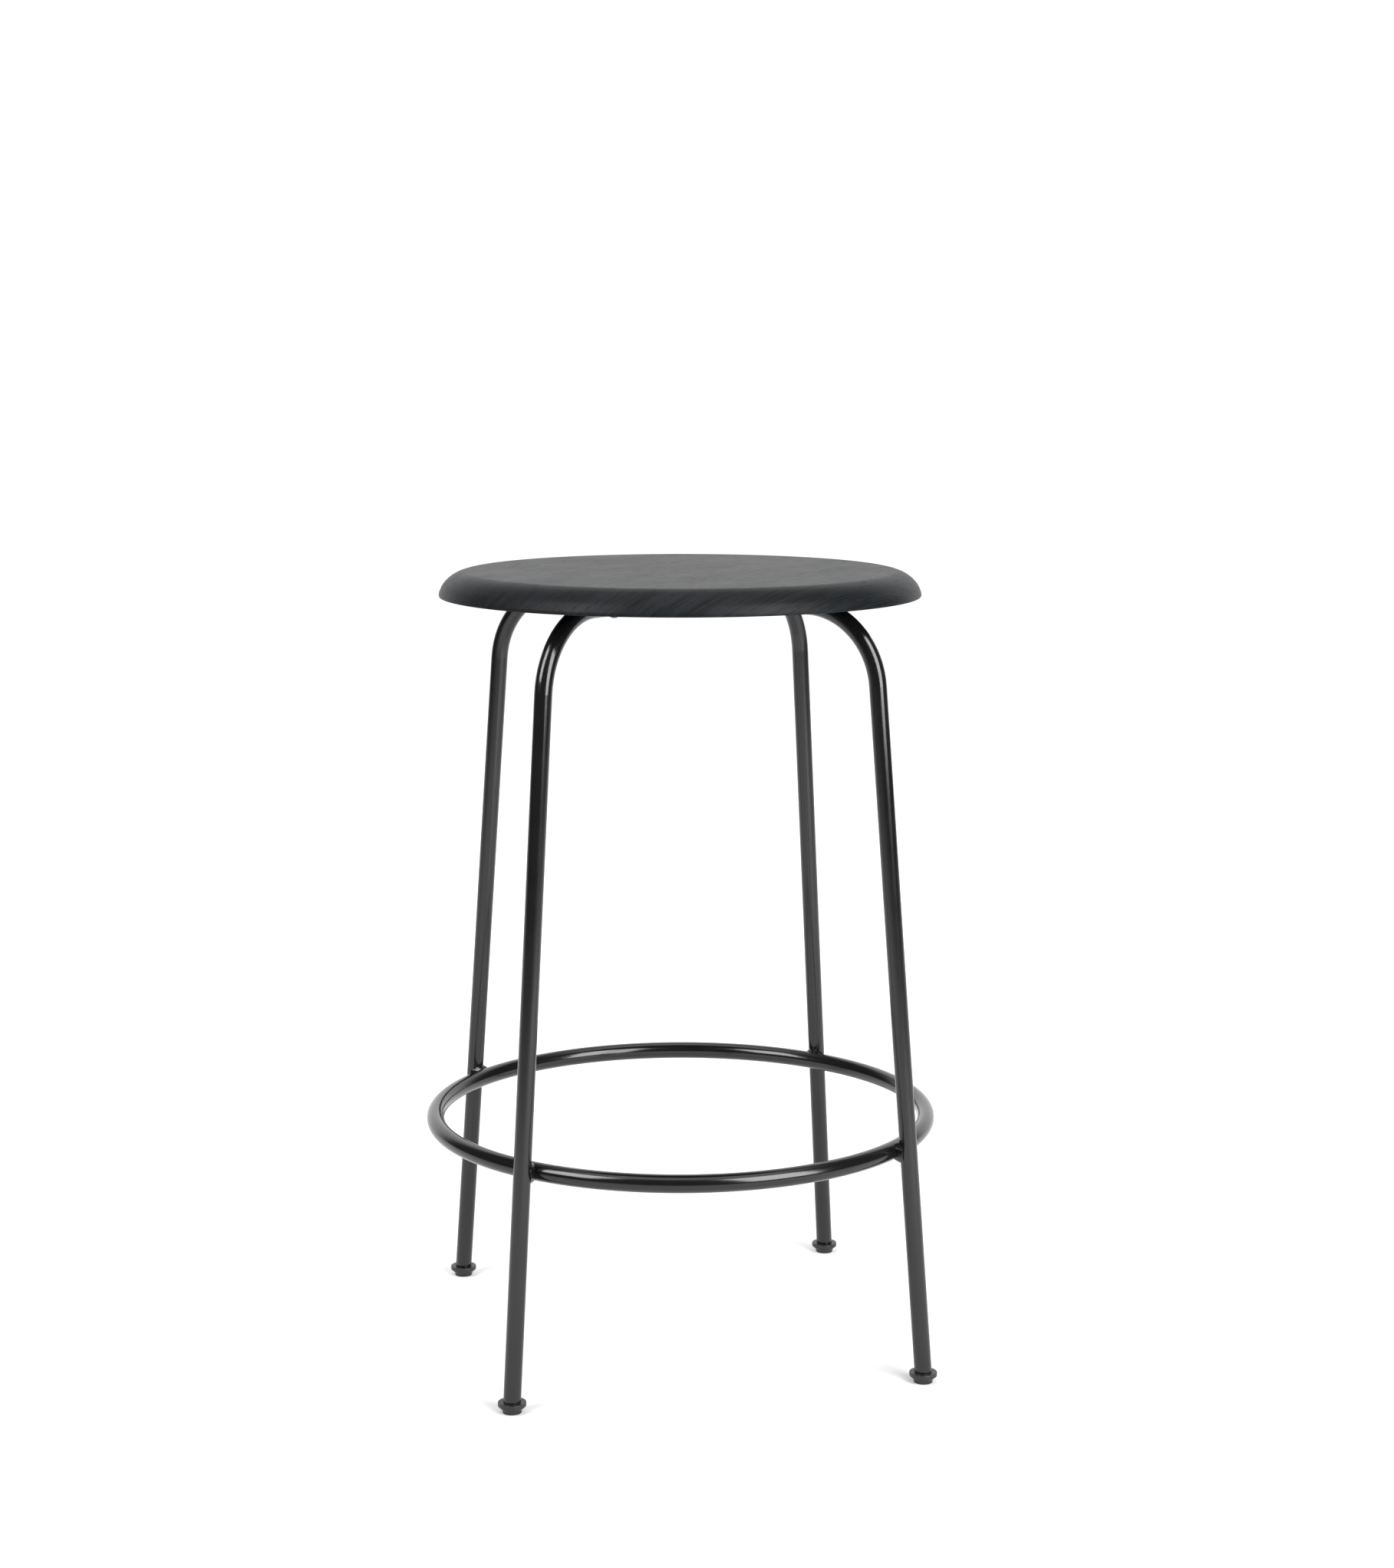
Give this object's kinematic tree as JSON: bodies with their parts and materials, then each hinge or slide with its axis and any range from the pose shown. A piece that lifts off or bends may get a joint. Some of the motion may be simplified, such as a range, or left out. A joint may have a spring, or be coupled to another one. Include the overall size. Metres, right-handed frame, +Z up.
{
  "type": "bar stool with footrest",
  "caption": "Round wooden seat on splayed bent steel tube legs, with a ring footrest and tilting feet.",
  "frame": {"origin": "on the floor, on the seat's centre line", "axes": "+Z up; -Y is the front; the legs stand on the diagonals of X and Y"},
  "size_m": [0.4295, 0.4296, 0.65],
  "materials": {
    "stained_wood": "black-stained, satin lacquer over fine grain",
    "frame_paint": "black satin powder coat",
    "plug_plastic": "gloss black",
    "glide_nylon": "moulded, satin",
    "screw_steel": "black oxide",
    "insert_brass": "machined"
  },
  "bodies": {
    "stool": {"seat_board": "stained_wood", "seat_inserts": "insert_brass", "seat_screws": "screw_steel", "centre_hub": "frame_paint", "hub_welds": "frame_paint", "footrest_ring": "frame_paint", "footrest_welds": "frame_paint", "leg_tube_front_right": "frame_paint", "leg_tube_back_right": "frame_paint", "leg_tube_back_left": "frame_paint", "leg_tube_front_left": "frame_paint", "foot_plug_front_right": "plug_plastic", "foot_plug_back_right": "plug_plastic", "foot_plug_back_left": "plug_plastic", "foot_plug_front_left": "plug_plastic"},
    "glide_front_right": {"glide_front_right": "glide_nylon"},
    "glide_back_right": {"glide_back_right": "glide_nylon"},
    "glide_back_left": {"glide_back_left": "glide_nylon"},
    "glide_front_left": {"glide_front_left": "glide_nylon"}
  },
  "joints": [
    {"name": "tilt_front_right", "type": "hinge", "parent": "stool", "child": "glide_front_right", "pos_m": [0.16825, -0.16825, 0.0075], "axis": [0.7071, 0.7071, 0], "range_deg": [-7, 7]},
    {"name": "tilt_back_right", "type": "hinge", "parent": "stool", "child": "glide_back_right", "pos_m": [0.16825, 0.16825, 0.0075], "axis": [-0.7071, 0.7071, 0], "range_deg": [-7, 7]},
    {"name": "tilt_back_left", "type": "hinge", "parent": "stool", "child": "glide_back_left", "pos_m": [-0.16825, 0.16825, 0.0075], "axis": [-0.7071, -0.7071, 0], "range_deg": [-7, 7]},
    {"name": "tilt_front_left", "type": "hinge", "parent": "stool", "child": "glide_front_left", "pos_m": [-0.16825, -0.16825, 0.0075], "axis": [0.7071, -0.7071, 0], "range_deg": [-7, 7]}
  ]
}
